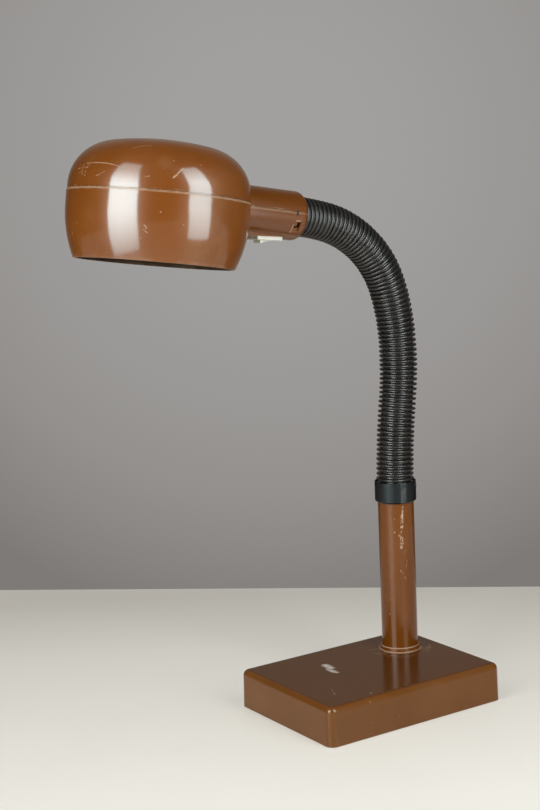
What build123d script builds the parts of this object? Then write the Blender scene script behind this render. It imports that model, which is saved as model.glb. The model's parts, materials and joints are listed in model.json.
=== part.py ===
from build123d import *
import math
import os

# Gooseneck desk lamp: a weighted moulded base, an upright tube, a ribbed bending arm and a
# clamshell head on a short neck.
#
# Millimetres. The origin is the centre of the base on the table, +X runs along the base's
# long side, +Z is up, and the arm reaches over the base towards -X.

# ------------------------------------------------------------------ clearances
turning_gap = 0.3       # between pieces that move past each other, and under loose seats
slip_gap = 0.1          # round a piece that sits in another
thread_gap = 0.05       # round a screwed or pinned piece
past = 1.0              # cutters run past the faces they cut, and joined bodies into each other

# ------------------------------------------------------------------ base
base_length = 188.6
base_width = 139.7
base_height = 34.5      # table to the top face
base_corner = 7.3       # upright corners
base_edge = 5.3         # rounded top edge
base_draft = 1.37       # degrees, mould draft of the side walls
base_wall = 2.6
base_roof = 3.0
rim_lift = 0.6          # the moulding stops this far above the table
pad_thickness = 1.6
pad_inset = 3.0
cover_thickness = 3.0
cover_lip = 1.3         # wall left outside the cover
boss_radius = 4.5
boss_inset = 10.6       # outer wall to the centre of a screw boss
screw_radius = 1.7
screw_head_radius = 3.5
screw_head_height = 1.6
screw_head_edge = 0.5
screw_bite = 11.0       # length of screw in its boss
weight_end_space = 10.7     # wall to the cast slab, at the ends
weight_side_space = 5.25    # and along the sides
weight_height = 13.0
weight_corner = 6.0
weight_edge = 1.5
weight_hole_margin = 1.5    # round the washer of the threaded rod
keeper_rib = 2.2        # thickness of the ribs that hold the weight down
keeper_rib_count = 3
keeper_rib_start = 32.3 # end of the base to the first rib
keeper_rib_space = 16.9 # last rib to the washer of the threaded rod

# Cord inlet in the end wall behind the upright
inlet_height = 18.0
inlet_bore = 3.6
inlet_neck = 5.0
inlet_flange = 6.5
inlet_flange_thickness = 2.0
inlet_lip = 6.0         # flange inside the wall

# ------------------------------------------------------------------ upright
stem_end_space = 39.4   # end of the base to the tube's axis
stem_side_space = 44.35 # side of the base to the tube's axis
stem_radius = 16.5
stem_wall = 2.0
stem_top = 182.0
register_height = 2.5   # spigot on the base that centres the tube
foot_ring_wall = 2.2
foot_ring_step = 0.9
foot_ring_height = 4.4
foot_ring_edge = 0.4
rod_radius = 5.0        # hollow threaded rod that ties arm, tube and base together
rod_bore = 3.5
rod_hub_drop = 4.0      # thickening under the roof
rod_hub_radius = 13.0
washer_radius = 12.0
washer_thickness = 1.6
nut_flats = 17.0
nut_height = 6.0
rod_tail = 1.3          # thread showing past the nut
plug_length = 14.0
plug_flange = 2.0

# Collar over the joint of tube and arm
collar_wall = 1.35
collar_height = 19.0
collar_overlap = 10.0   # length over the tube and its plug
collar_chamfer = 1.2
collar_edge = 0.5
collar_groove_depth = 0.5
collar_groove_width = 0.5
collar_groove_drop = 2.1
collar_screw_azimuth = -54.0
collar_screw_radius = 2.0
collar_screw_drop = 4.6
collar_screw_proud = 0.6
collar_screw_slot = 0.7

# ------------------------------------------------------------------ bending arm
# The centre line in the upright plane through the stem is a row of arcs from the plug to the
# neck, each with a length and the angle that it turns by, towards -X where positive.
arm_arc_lengths = (82.0, 58.0, 46.0, 42.0, 54.0, 29.0)
arm_arc_angles = (-7.5, 11.5, 14.0, 26.0, 30.2, 6.8)
arm_insert = 6.0        # straight end inside the neck
rib_radius = 17.25
groove_radius = 14.2
ribs_per_link = 6
first_link_ribs = 7
link_count = 12
bore_radius = 10.3
core_gap = 0.3
core_wall = 2.0
joint_gap = 1.8         # half the space between neighbouring links, at their joint
joint_face_inset = 2.05 # crest of the ribs to the rim of a link's end face
nose_inset = 0.6        # groove to the ball-shaped lip that closes it at a joint
nose_wall = 1.1
nose_root = 3.0
nose_reach = 4.2
coupler_flange = 2.5
coupler_spigot = 10.0

# ------------------------------------------------------------------ head
# Own axes: origin on the shade's axis at the seam, +X along the neck towards the arm, +Z up.
head_radius = 74.9
head_roll_angle = -1.0  # about the neck
crown_height = 44.8
crown_radius = 226.0
shoulder_radius = 38.0
skirt_height = 54.7     # seam to the rim
skirt_straight = 12.0
skirt_radius = 105.0
shell_wall = 2.3
seam_step = 0.5         # the lower shell stands this far outside the upper one
seam_gap = 0.3
tongue_height = 2.6
tongue_wall = 1.3
neck_radius = 21.1
neck_length = 61.1      # side of the shade to the neck's end face
neck_drop = 2.3         # neck axis below the seam
neck_end_edge = 6.0
neck_floor_wall = 2.2   # flat inner floor over the switch
neck_end_wall = 2.5
junction_fillet = 4.0

# Snap fingers of the upper shell, in windows of the lower one
window_length = 6.2
finger_space = 2.9       # finger to the wall across the neck
window_top = 8.2
window_height = 10.0
finger_width = 3.2
finger_wall = 1.6
finger_inset = 5.2      # neck surface to the finger's inner face
finger_reach = 12.0     # tip below the seam
finger_root = 9.0       # top above the seam, inside the wall
barb_out = 1.7
barb_face = 1.0

# Wall in the neck that the arm's coupler is bolted to
web_thickness = 2.5
web_width = 34.4
neck_washer_radius = 11.0
neck_nut_height = 5.0

# Lampholder on its plate
plate_space = 5.1       # side of the shade to the plate
plate_thickness = 1.5
plate_margin = 0.4
plate_guide = 1.6
plate_guide_width = 16.0
plate_guide_height = 2.2
holder_wall = 4.8
holder_back = 8.0       # floor of the socket to the back face
holder_back_radius = 14.0
holder_shoulder = 2.0   # start of the taper to the floor of the socket
holder_taper = 6.0
socket_depth = 28.0
socket_shell_wall = 0.8
socket_shell_length = 24.0
contact_length = 16.0
contact_width = 5.0
contact_thickness = 0.8
button_radius = 3.0
button_height = 2.0
holder_screw_spread = 9.0
holder_screw_bite = 6.0

# Bulb
cap_radius = 13.0
cap_length = 24.0
cap_shoulder_radius = 12.0
cap_shoulder_height = 3.0
cap_insulator_radius = 5.0
cap_tip_radius = 4.0
cap_tip_height = 1.0
bulb_radius = 30.0
bulb_length = 106.0
bulb_waist_inset = 0.6
bulb_waist_angle = 52.0 # from the bulb's axis to where the waist leaves the ball
bulb_wall = 1.0

# Heat shield under the crown
shield_space = 4.0
shield_thickness = 0.8
shield_edge_height = 20.0
shield_post_spread = 28.0
shield_post_radius = 3.5
shield_screw_bite = 4.0

# Rocker switch under the neck
switch_space = 29.6     # side of the shade to the middle of the switch
pocket_space = 4.1      # side of the shade to the flat pocket that the switch sits in
pocket_depth = 2.2       # underside of the pad to the face that the bezel sits on
pad_drop = 1.2          # underside of the neck to the pad's, at the middle of the switch
pad_angle = 3.0         # the pad's slope to the neck
pad_side = 1.4          # pad past the bezel
bezel_end = 2.1         # bezel past the switch's body
bezel_side = 2.3
bezel_height = 3.4
bezel_corner = 1.5
bezel_edge = 0.6
switch_end_wall = 1.5
switch_side_wall = 1.3
switch_depth = 14.0
well_length = 18.6
well_width = 11.4
well_depth = 8.0
rocker_end_gap = 1.2
rocker_side_gap = 0.4
rocker_angle = 10.0     # either side of level
rocker_dish = 4.0       # slope of each half of the rocker's face
rocker_crown = 3.4      # pivot to the dip in the rocker's face
rocker_side = 0.6       # pivot to the inner edge of the rocker's ends
rocker_keel = 4.5       # pivot to the rocker's inner face
pivot_drop = 0.5        # pivot below the pocket's face
pivot_radius = 1.4
pivot_length = 0.9
terminal_width = 4.8
terminal_thickness = 0.8
terminal_height = 6.0
terminal_spread = 5.0   # middle of the switch to a terminal

# ------------------------------------------------------------------ derived places
stem_x = base_length / 2 - stem_end_space
stem_y = base_width / 2 - stem_side_space
cover_top = pad_thickness + cover_thickness
screw_recess = screw_head_height + slip_gap
roof_underside = base_height - base_roof
weight_length = base_length - 2 * (base_wall + weight_end_space)
weight_width = base_width - 2 * (base_wall + weight_side_space)
weight_top = cover_top + weight_height
first_rib_place = keeper_rib_start - base_length / 2
last_rib_place = stem_x - washer_radius - keeper_rib_space
keeper_rib_pitch = (last_rib_place - first_rib_place) / (keeper_rib_count - 1)
keeper_rib_places = [first_rib_place + keeper_rib_pitch * i for i in range(keeper_rib_count)]
hub_bottom = roof_underside - rod_hub_drop
washer_bottom = hub_bottom - washer_thickness
nut_bottom = washer_bottom - nut_height
arm_start = stem_top + plug_flange
foot_ring_radius = stem_radius + slip_gap + foot_ring_wall
collar_radius = max(stem_radius, rib_radius + turning_gap) + collar_wall
collar_bottom = arm_start - collar_overlap
arm_length = sum(arm_arc_lengths)
rib_count = first_link_ribs + ribs_per_link * (link_count - 1)
rib_pitch = (arm_length + arm_insert - 2 * turning_gap) / rib_count
joint_places = [
    turning_gap + rib_pitch * (first_link_ribs + ribs_per_link * i) for i in range(link_count - 1)
]
nose_radius = groove_radius - nose_inset
core_radius = bore_radius - core_gap
core_bore = core_radius - core_wall
stem_place = Pos(stem_x, stem_y, 0)
boss_places = [
    Pos(sx * (base_length / 2 - boss_inset), sy * (base_width / 2 - boss_inset), 0)
    for sx in (-1, 1)
    for sy in (-1, 1)
]
upper_radius = head_radius - seam_step
neck_end = head_radius + neck_length
web_face = neck_end - arm_insert
web_back = web_face - turning_gap - web_thickness
window_start = web_back - finger_space - finger_width - turning_gap
plate_front = head_radius + plate_space - plate_thickness / 2
plate_back = plate_front + plate_thickness
holder_length = socket_depth + holder_back
holder_front = plate_front - holder_length
socket_radius = cap_radius + turning_gap + socket_shell_wall
holder_radius = socket_radius + slip_gap + holder_wall
bulb_tip = holder_front + socket_depth - button_height - 2 * slip_gap
bulb_waist_radius = cap_radius - bulb_waist_inset
switch_place = head_radius + switch_space
switch_seat = neck_radius + neck_drop + pad_drop - pocket_depth
switch_length = well_length + 2 * switch_end_wall
switch_width = well_width + 2 * switch_side_wall
bezel_length = switch_length + 2 * bezel_end
bezel_width = switch_width + 2 * bezel_side
rocker_length = well_length - 2 * rocker_end_gap
rocker_width = well_width - 2 * rocker_side_gap
neck_floor = switch_seat - neck_floor_wall


# ------------------------------------------------------------------ small helpers
def rod(radius, bottom, top):
    """Upright round bar between two heights."""
    bar = Cylinder(radius, top - bottom, align=(Align.CENTER, Align.CENTER, Align.MIN))
    return Pos(0, 0, bottom) * bar


def ring(outer, inner, bottom, top):
    """Upright round tube between two heights."""
    return rod(outer, bottom, top) - rod(inner, bottom - past, top + past)


def along_x(shape):
    """Turns a piece made along +Z so that it runs along +X."""
    return Rot(0, 90, 0) * shape


def block(x, y, z):
    """Box between pairs of coordinates."""
    size = [pair[1] - pair[0] for pair in (x, y, z)]
    centre = [(pair[0] + pair[1]) / 2 for pair in (x, y, z)]
    return Pos(*centre) * Box(*size)


def hex_nut(bottom, height):
    """Hexagon nut on the threaded rod."""
    hexagon = RegularPolygon(nut_flats / 2, 6, major_radius=False)
    body = Pos(0, 0, bottom) * extrude(hexagon, height)
    return body - rod(rod_radius + thread_gap, bottom - past, bottom + height + past)


def pan_screw(head_bottom, tip):
    """Screw that points up: a domed head below and a plain shank."""
    head = rod(screw_head_radius, head_bottom, head_bottom + screw_head_height)
    head = chamfer(head.edges().group_by(Axis.Z)[0], screw_head_edge)
    return head + rod(screw_radius, head_bottom, tip)


# ------------------------------------------------------------------ base pieces
def base_outline(inset):
    """Rounded rectangle inside the base's outline."""
    return RectangleRounded(base_length - 2 * inset, base_width - 2 * inset, base_corner - inset)


def base_solid(inset, top):
    """Solid of the moulding up to a height, inside its outer faces by an inset."""
    outline = Pos(0, 0, rim_lift) * base_outline(inset)
    body = extrude(outline, top - rim_lift, taper=base_draft)
    return fillet(body.edges().group_by(Axis.Z)[-1], base_edge - inset)


def base_wall_x(height):
    """Outer face of the end wall at a height above the table."""
    return base_length / 2 - (height - rim_lift) * math.tan(math.radians(base_draft))


def base_shell():
    """Moulded box, open below, with screw bosses, keeper ribs and the hub for the rod."""
    body = base_solid(0, base_height) - base_solid(base_wall, roof_underside)
    body -= extrude(base_outline(cover_lip), cover_top)

    for place in boss_places:
        body += place * rod(boss_radius, cover_top, roof_underside + past)
        body -= place * rod(screw_radius + thread_gap, cover_top - past, cover_top + screw_bite + past)
    for x in keeper_rib_places:
        body += block(
            (x - keeper_rib / 2, x + keeper_rib / 2),
            (base_wall - base_width / 2, base_width / 2 - base_wall),
            (weight_top, roof_underside + past),
        )

    register_top = base_height + register_height
    hub = rod(rod_hub_radius, hub_bottom, roof_underside + past)
    hub += rod(stem_radius - stem_wall - slip_gap, base_height - past, register_top)
    body += stem_place * hub
    body -= stem_place * rod(rod_radius + slip_gap, 0, register_top + past)
    inlet = along_x(rod(inlet_neck + slip_gap, -3 * base_wall, past))
    return body - Pos(base_length / 2, stem_y, inlet_height) * inlet


def base_cover():
    """Flat bottom plate, let into the moulding and counterbored for its screws."""
    plate = extrude(Pos(0, 0, pad_thickness) * base_outline(cover_lip + slip_gap), cover_thickness)
    for place in boss_places:
        plate -= place * rod(screw_radius + slip_gap, 0, cover_top + past)
        plate -= place * rod(screw_head_radius + turning_gap, 0, pad_thickness + screw_recess)
    return plate


def base_pad():
    """Felt sheet that the lamp stands on."""
    return extrude(base_outline(pad_inset), pad_thickness)


def cover_screws():
    """The four screws that hold the bottom plate."""
    screw = pan_screw(pad_thickness + slip_gap, cover_top + screw_bite)
    return Compound(children=[place * screw for place in boss_places])


def base_weight():
    """Cast slab between the bottom plate and the keeper ribs, relieved at the bosses and the rod."""
    outline = RectangleRounded(weight_length, weight_width, weight_corner)
    slab = extrude(Pos(0, 0, cover_top) * outline, weight_height)
    slab = chamfer(slab.edges().group_by(Axis.Z)[-1], weight_edge)
    for place in boss_places:
        slab -= place * rod(boss_radius + 3 * turning_gap, cover_top - past, weight_top + past)
    hole = rod(washer_radius + weight_hole_margin, cover_top - past, weight_top + past)
    return slab - stem_place * hole


def cord_grommet():
    """Rubber bush that lines the cord's hole in the end wall."""
    outside = base_wall_x(inlet_height - inlet_flange)
    inside = base_wall_x(inlet_height + inlet_flange) - base_wall
    bush = rod(inlet_flange, outside, outside + inlet_flange_thickness)
    bush = fillet(bush.edges().group_by(Axis.Z)[-1], inlet_flange_thickness / 2)
    bush += rod(inlet_neck, inside, outside)
    bush += rod(inlet_lip, inside - inlet_flange_thickness, inside)
    reach = inlet_flange_thickness + past
    bush -= rod(inlet_bore, inside - reach, outside + reach)
    return Pos(0, stem_y, inlet_height) * along_x(bush)


# ------------------------------------------------------------------ upright pieces
def stem_tube():
    """Painted tube that stands on the base round its register."""
    return stem_place * ring(stem_radius, stem_radius - stem_wall, base_height, stem_top)


def stem_foot_ring():
    """Stepped trim ring round the foot of the tube."""
    inner = stem_radius + slip_gap
    low = ring(foot_ring_radius, inner, base_height, base_height + foot_ring_height / 2)
    high = ring(foot_ring_radius - foot_ring_step, inner, base_height, base_height + foot_ring_height)
    body = low + high
    rim = body.edges().group_by(Axis.Z)[-1].sort_by(SortBy.LENGTH)[-1]
    return stem_place * chamfer(rim, foot_ring_edge)


def stem_rod():
    """Hollow threaded rod from below the roof up into the arm's lower coupler."""
    return stem_place * ring(rod_radius, rod_bore, nut_bottom - rod_tail, arm_start + coupler_spigot)


def rod_washer():
    return stem_place * ring(washer_radius, rod_radius + slip_gap, washer_bottom, hub_bottom)


def rod_nut():
    return stem_place * hex_nut(nut_bottom, nut_height)


def stem_plug():
    """Bush that closes the top of the tube and centres the rod."""
    bottom = stem_top - plug_length
    body = rod(stem_radius - stem_wall - slip_gap, bottom, stem_top)
    body += rod(stem_radius - slip_gap, stem_top, arm_start)
    return stem_place * (body - rod(rod_radius + slip_gap, bottom - past, arm_start + past))


def collar():
    """Black ring over the top of the tube and the first ribs of the arm."""
    top = collar_bottom + collar_height
    body = rod(collar_radius, collar_bottom, top)
    body = chamfer(body.edges().group_by(Axis.Z)[0], collar_chamfer)
    body = fillet(body.edges().group_by(Axis.Z)[-1], collar_edge)
    body -= rod(stem_radius + slip_gap, collar_bottom - past, top + past)
    body -= rod(rib_radius + turning_gap, arm_start, top + past)
    groove_top = top - collar_groove_drop
    groove_floor = collar_radius - collar_groove_depth
    body -= ring(collar_radius + past, groove_floor, groove_top - collar_groove_width, groove_top)
    hole = along_x(rod(collar_screw_radius + thread_gap, 0, collar_radius + past))
    return stem_place * (body - collar_screw_place() * hole)


def collar_screw_place():
    """Middle of the collar at the height of its screw, turned towards the screw."""
    height = collar_bottom + collar_height - collar_screw_drop
    return Rot(0, 0, collar_screw_azimuth) * Pos(0, 0, height)


def collar_screw():
    """Grub screw through the collar's side, short of the ribs."""
    face = collar_radius + collar_screw_proud
    screw = rod(collar_screw_radius, rib_radius + turning_gap, face)
    slot = Box(collar_screw_slot, 3 * collar_screw_radius, 2 * collar_screw_proud)
    screw -= Pos(0, 0, face) * slot
    return stem_place * collar_screw_place() * along_x(screw)


# ------------------------------------------------------------------ bending arm
def arm_frame(distance):
    """Point of the centre line at a distance from the plug, and its lean from upright."""
    x, z, lean = stem_x, arm_start, 0.0
    left = distance
    for length, angle in zip(arm_arc_lengths, arm_arc_angles):
        part = min(max(left, 0.0), length)
        swing = math.radians(angle) * part / length
        chord = part if swing == 0 else 2 * part / swing * math.sin(swing / 2)
        x -= chord * math.sin(lean + swing / 2)
        z += chord * math.cos(lean + swing / 2)
        lean += swing
        left -= part
    x -= left * math.sin(lean)
    z += left * math.cos(lean)
    return Vector(x, stem_y, z), lean


def arm_plane(distance):
    """Plane across the arm: its normal follows the centre line, its X axis is the row's +Y."""
    point, lean = arm_frame(distance)
    return Plane(origin=point, x_dir=(0, 1, 0), z_dir=(-math.sin(lean), 0, math.cos(lean)))


def arm_loft(stations):
    """Round solid along the arm through (distance, radius) stations."""
    return loft([arm_plane(distance) * Circle(radius) for distance, radius in stations], ruled=True)


def arm_bar(start, end, radius):
    """Plain round bar along the arm, with a station at every rib."""
    steps = max(2, math.ceil((end - start) / rib_pitch))
    return arm_loft([(start + (end - start) * i / steps, radius) for i in range(steps + 1)])


def nose_ring():
    """Ball-shaped lip round the origin, open along its axis."""
    band = Circle(nose_radius) - Circle(nose_radius - nose_wall)
    window = Rectangle(nose_radius, nose_reach + nose_root)
    window = Pos(nose_radius / 2, (nose_reach - nose_root) / 2) * window
    return revolve(Plane.XZ * (band & window), Axis.Z)


def link_span(index):
    """Where a link starts and ends along the arm, with the space left at its joints."""
    start = turning_gap
    if index > 0:
        start = joint_places[index - 1] + joint_gap
    end = arm_length + arm_insert - turning_gap
    if index < link_count - 1:
        end = joint_places[index] - joint_gap
    return start, end


def sleeve_link(index):
    """One length of the ribbed sleeve: ribs outside, ball lip above, ball socket below."""
    start, end = link_span(index)
    first_rib = 0 if index == 0 else first_link_ribs + ribs_per_link * (index - 1)
    ribs = first_link_ribs if index == 0 else ribs_per_link
    face_radius = rib_radius - joint_face_inset
    stations = [(start, groove_radius if index == 0 else face_radius)]
    for rib in range(ribs):
        crest = turning_gap + rib_pitch * (first_rib + rib + 0.5)
        stations.append((crest, rib_radius))
        if rib < ribs - 1:
            stations.append((crest + rib_pitch / 2, groove_radius))
    stations.append((end, groove_radius if index == link_count - 1 else face_radius))
    body = arm_loft(stations) - arm_bar(start - past, end + past, bore_radius)
    if index > 0:
        body -= arm_plane(joint_places[index - 1]) * Sphere(nose_radius + turning_gap)
    if index < link_count - 1:
        body += arm_plane(joint_places[index]) * nose_ring()
    return body


def core_link(index):
    """The same length of the steel core inside the sleeve."""
    start, end = link_span(index)
    if index == 0:
        start = coupler_flange + slip_gap
    if index == link_count - 1:
        end = arm_length + arm_insert - coupler_flange - slip_gap
    return arm_bar(start, end, core_radius) - arm_bar(start - past, end + past, core_bore)


def lower_coupler():
    """Threaded cup that joins the rod to the core."""
    top = arm_start + coupler_flange + coupler_spigot
    body = rod(core_radius, arm_start, arm_start + coupler_flange)
    body += rod(core_bore - core_gap, arm_start, top)
    body -= rod(rod_radius + thread_gap, arm_start - past, arm_start + coupler_spigot)
    body -= rod(rod_bore, arm_start, top + past)
    return stem_place * body


# ------------------------------------------------------------------ head: shells
def head_place():
    """Place of the head's own axes: the neck carries on from the end of the arm."""
    point, lean = arm_frame(arm_length)
    back = (math.sin(lean), 0, -math.cos(lean))
    up = (math.cos(lean), 0, math.sin(lean))
    neck_axes = Plane(origin=point, x_dir=back, z_dir=up)
    return neck_axes.location * Rot(head_roll_angle, 0, 0) * Pos(-neck_end, 0, neck_drop)


def crown_solid(inset):
    """Turned solid of the crown above the seam, inside its outer face by an inset."""
    wall = upper_radius - inset
    shoulder = shoulder_radius - inset
    crown = crown_radius - inset
    centre_x = upper_radius - shoulder_radius
    crown_centre = crown_height - crown_radius
    centre_z = crown_centre + math.sqrt((crown_radius - shoulder_radius) ** 2 - centre_x ** 2)
    meet = math.atan2(centre_z - crown_centre, centre_x)
    half = meet / 2
    steep = (meet + math.pi / 2) / 2
    bottom = Polyline((0, crown_height - inset), (0, -shoulder), (wall, -shoulder), (wall, centre_z))
    side = ThreePointArc(
        (wall, centre_z),
        (centre_x + shoulder * math.cos(half), centre_z + shoulder * math.sin(half)),
        (centre_x + shoulder * math.cos(meet), centre_z + shoulder * math.sin(meet)),
    )
    top = ThreePointArc(
        (centre_x + shoulder * math.cos(meet), centre_z + shoulder * math.sin(meet)),
        (crown * math.cos(steep), crown_centre + crown * math.sin(steep)),
        (0, crown_height - inset),
    )
    return revolve(Plane.XZ * make_face(bottom + side + top), Axis.Z) & above_seam(2 * head_radius)


def skirt_solid(inset, drop):
    """Turned solid of the shade below the seam, inside its outer face by an inset."""
    centre = head_radius - skirt_radius
    curve = skirt_radius - inset
    depth = skirt_height + drop - skirt_straight

    def edge(fall):
        return centre + math.sqrt(curve ** 2 - fall ** 2), -skirt_straight - fall

    outline = Polyline(edge(depth), (0, -skirt_height - drop), (0, 0), (head_radius - inset, 0), edge(0))
    outline += ThreePointArc(edge(0), edge(depth / 2), edge(depth))
    return revolve(Plane.XZ * make_face(outline), Axis.Z)


def neck_bar(radius, start, end):
    """Round bar along the neck's axis."""
    return Pos(0, 0, -neck_drop) * along_x(rod(radius, start, end))


def neck_outer():
    bar = neck_bar(neck_radius, head_radius / 2, neck_end)
    return fillet(bar.edges().group_by(Axis.X)[-1], neck_end_edge)


def neck_hollow():
    """Room inside the neck, with a flat floor over the switch and a round mouth for the arm."""
    room = neck_bar(neck_radius - shell_wall, head_radius / 2, neck_end - neck_end_wall)
    room &= block((0, neck_end), (-neck_radius, neck_radius), (-neck_floor, neck_radius))
    return room + neck_bar(rib_radius + turning_gap, web_face, neck_end + past)


def above_seam(reach):
    return block((-reach, reach), (-reach, reach), (0, reach))


def neck_web():
    """Wall across the neck that the arm's coupler is bolted to."""
    wall = neck_bar(neck_radius - shell_wall / 2, web_back, web_back + web_thickness)
    wall &= block((0, neck_end), (-web_width / 2, web_width / 2), (-neck_radius - neck_drop, neck_radius))
    return wall - neck_bar(rod_radius + slip_gap, 0, neck_end)


def plate_guides(height):
    """Pair of small ribs that trap the lampholder's plate, at a height of the neck."""
    ribs = []
    for face, way in ((plate_front - slip_gap, -1), (plate_back + slip_gap, 1)):
        ends = sorted((face, face + way * plate_guide))
        ribs.append(block(ends, (-plate_guide_width / 2, plate_guide_width / 2), height))
    return ribs[0] + ribs[1]


def snap_fingers():
    """Two fingers that reach down inside the neck and hook into the lower shell's windows."""
    inner = neck_radius - finger_inset
    outer = inner + finger_wall
    barb_top = -window_top - turning_gap
    outline = Polyline((inner, finger_root), (inner, -finger_reach), (outer, -finger_reach),
                       (outer + barb_out, barb_top - barb_face), (outer + barb_out, barb_top),
                       (outer, barb_top), (outer, finger_root), (inner, finger_root))
    side = Plane(origin=(window_start + turning_gap, 0, 0), x_dir=(0, 1, 0), z_dir=(1, 0, 0))
    finger = extrude(side * make_face(outline), finger_width)
    return finger + mirror(finger, Plane.XZ)


def shield_fall(reach):
    """Fall of the heat shield from its middle to a distance from the shade's axis."""
    radius = crown_radius - shell_wall - shield_space
    return radius - math.sqrt(radius ** 2 - reach ** 2)


def shield_posts():
    """Posts under the crown that carry the heat shield."""
    ceiling = crown_height - shell_wall
    bottom = ceiling - shield_space - shield_fall(shield_post_spread - shield_post_radius)
    post = rod(shield_post_radius, bottom, ceiling) - rod(screw_radius + thread_gap, 0, ceiling)
    return Pos(-shield_post_spread, 0, 0) * post + Pos(shield_post_spread, 0, 0) * post


def in_junction(point):
    """Whether a point lies in the corner between crown and neck, clear of the seam."""
    over_neck = abs(point.Y) < 0.9 * neck_radius and point.Z > past
    return over_neck and abs(point.X - upper_radius) < neck_radius / 2


def upper_shell():
    """Crown and upper half of the neck in one moulding."""
    outer = crown_solid(0) + (neck_outer() & above_seam(2 * neck_end))
    junction = [edge for edge in outer.edges() if in_junction(edge @ 0.5)]
    outer = fillet(junction, junction_fillet)
    body = outer - crown_solid(shell_wall) - (neck_hollow() & above_seam(2 * neck_end))
    body -= block((-head_radius, neck_end + past), (-head_radius, head_radius), (-past, seam_gap / 2))
    body += neck_web() & above_seam(2 * neck_end)

    tongue_radius = head_radius - shell_wall - turning_gap
    tongue = ring(tongue_radius, tongue_radius - tongue_wall, -tongue_height, tongue_height)
    doorway = neck_radius + junction_fillet
    body += tongue - block((0, head_radius), (-doorway, doorway), (-2 * tongue_height, 2 * tongue_height))

    ceiling = neck_radius - neck_drop - shell_wall
    body += plate_guides((ceiling - plate_guide_height, ceiling + shell_wall / 2))
    body += snap_fingers()
    return body + (shield_posts() & crown_solid(shell_wall / 2))


def switch_pad():
    """Sloping pad under the neck that the switch sits in, from the shade to the end of the bezel."""
    shade_end = head_radius - shell_wall - switch_place
    neck_side = bezel_length / 2 + turning_gap
    pad = block((shade_end, neck_side), (-bezel_width / 2 - pad_side, bezel_width / 2 + pad_side),
                (-pocket_depth, neck_radius))
    return switch_frame() * pad & block((0, neck_end), (-neck_radius, neck_radius), (-2 * neck_radius, -neck_floor))


def lower_shell():
    """Shade skirt and lower half of the neck, with the switch pocket and snap windows."""
    reach = 2 * neck_end
    below = block((-reach, reach), (-reach, reach), (-reach, -seam_gap / 2))
    body = skirt_solid(0, 0) + neck_outer() + switch_pad()
    body -= skirt_solid(shell_wall, past) + neck_hollow()
    body &= below
    body += neck_web() & below

    pocket_start = head_radius + pocket_space - switch_place
    pocket_end = bezel_length / 2 + turning_gap
    half_length = switch_length / 2 + slip_gap
    half_width = switch_width / 2 + slip_gap
    pocket = block((pocket_start, pocket_end), (-neck_radius, neck_radius), (-pocket_depth - past, 0))
    pocket += block((-half_length, half_length), (-half_width, half_width), (-past, switch_seat))
    body -= switch_frame() * pocket

    window_side = neck_radius - finger_inset - 2 * turning_gap
    window = block((window_start, window_start + window_length), (window_side, neck_radius + past),
                   (-window_top - window_height, -window_top))
    body -= window + mirror(window, Plane.XZ)
    return body + plate_guides((-neck_floor - shell_wall / 2, plate_guide_height - neck_floor))


# ------------------------------------------------------------------ head: inside
def upper_coupler():
    """Threaded fitting of the core's upper end, through the wall in the neck."""
    thread = web_thickness + washer_thickness + neck_nut_height + rod_tail
    body = rod(core_radius, 0, coupler_flange)
    body += rod(core_bore - core_gap, 0, coupler_flange + coupler_spigot)
    body += rod(rod_radius, -thread, 0)
    body -= rod(rod_bore, -thread - past, coupler_flange + coupler_spigot + past)
    return Pos(web_face - turning_gap, 0, -neck_drop) * along_x(body)


def neck_washer():
    washer = ring(neck_washer_radius, rod_radius + slip_gap, web_back - washer_thickness, web_back)
    return Pos(0, 0, -neck_drop) * along_x(washer)


def neck_nut():
    nut = hex_nut(web_back - washer_thickness - neck_nut_height, neck_nut_height)
    return Pos(0, 0, -neck_drop) * along_x(nut)


def holder_plate():
    """Steel plate across the mouth of the neck that carries the lampholder."""
    plate = neck_bar(neck_radius - shell_wall - plate_margin, plate_front, plate_back)
    plate &= block((0, neck_end), (-neck_radius, neck_radius), (-neck_floor + slip_gap, neck_radius))
    plate -= neck_bar(rod_radius + slip_gap, 0, neck_end)
    for side in (-1, 1):
        plate -= Pos(0, side * holder_screw_spread, 0) * neck_bar(screw_radius + slip_gap, 0, neck_end)
    return plate


def lampholder():
    """Moulded lampholder with a deep socket, closed behind but for its screw holes."""
    back = holder_length
    taper = socket_depth - holder_shoulder
    outline = Polyline((0, 0), (holder_radius, 0), (holder_radius, taper),
                       (holder_back_radius, taper + holder_taper), (holder_back_radius, back),
                       (0, back), (0, 0))
    body = revolve(Plane.XZ * make_face(outline), Axis.Z)
    body -= rod(socket_radius + slip_gap, -past, socket_depth)
    hole = rod(screw_radius + thread_gap, back - holder_screw_bite - past, back + past)
    for side in (-1, 1):
        body -= Pos(0, side * holder_screw_spread, 0) * hole
    return Pos(holder_front, 0, -neck_drop) * along_x(body)


def socket_shell():
    """Threaded brass shell of the lampholder."""
    inner = socket_radius - socket_shell_wall
    shell = ring(socket_radius, inner, socket_depth - socket_shell_length, socket_depth)
    return Pos(holder_front, 0, -neck_drop) * along_x(shell)


def centre_contact():
    """Springy brass strip at the bottom of the socket."""
    strip = block(
        (-contact_length / 2, contact_length / 2),
        (-contact_width / 2, contact_width / 2),
        (socket_depth - contact_thickness, socket_depth),
    )
    strip += rod(button_radius, socket_depth - button_height, socket_depth)
    return Pos(holder_front, 0, -neck_drop) * along_x(strip)


def holder_screws():
    """The two screws that hold the lampholder to its plate."""
    screw = along_x(Rot(180, 0, 0) * pan_screw(-screw_head_height, plate_thickness + holder_screw_bite))
    spread = (-holder_screw_spread, holder_screw_spread)
    return Compound(children=[Pos(plate_back, y, -neck_drop) * screw for y in spread])


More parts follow.
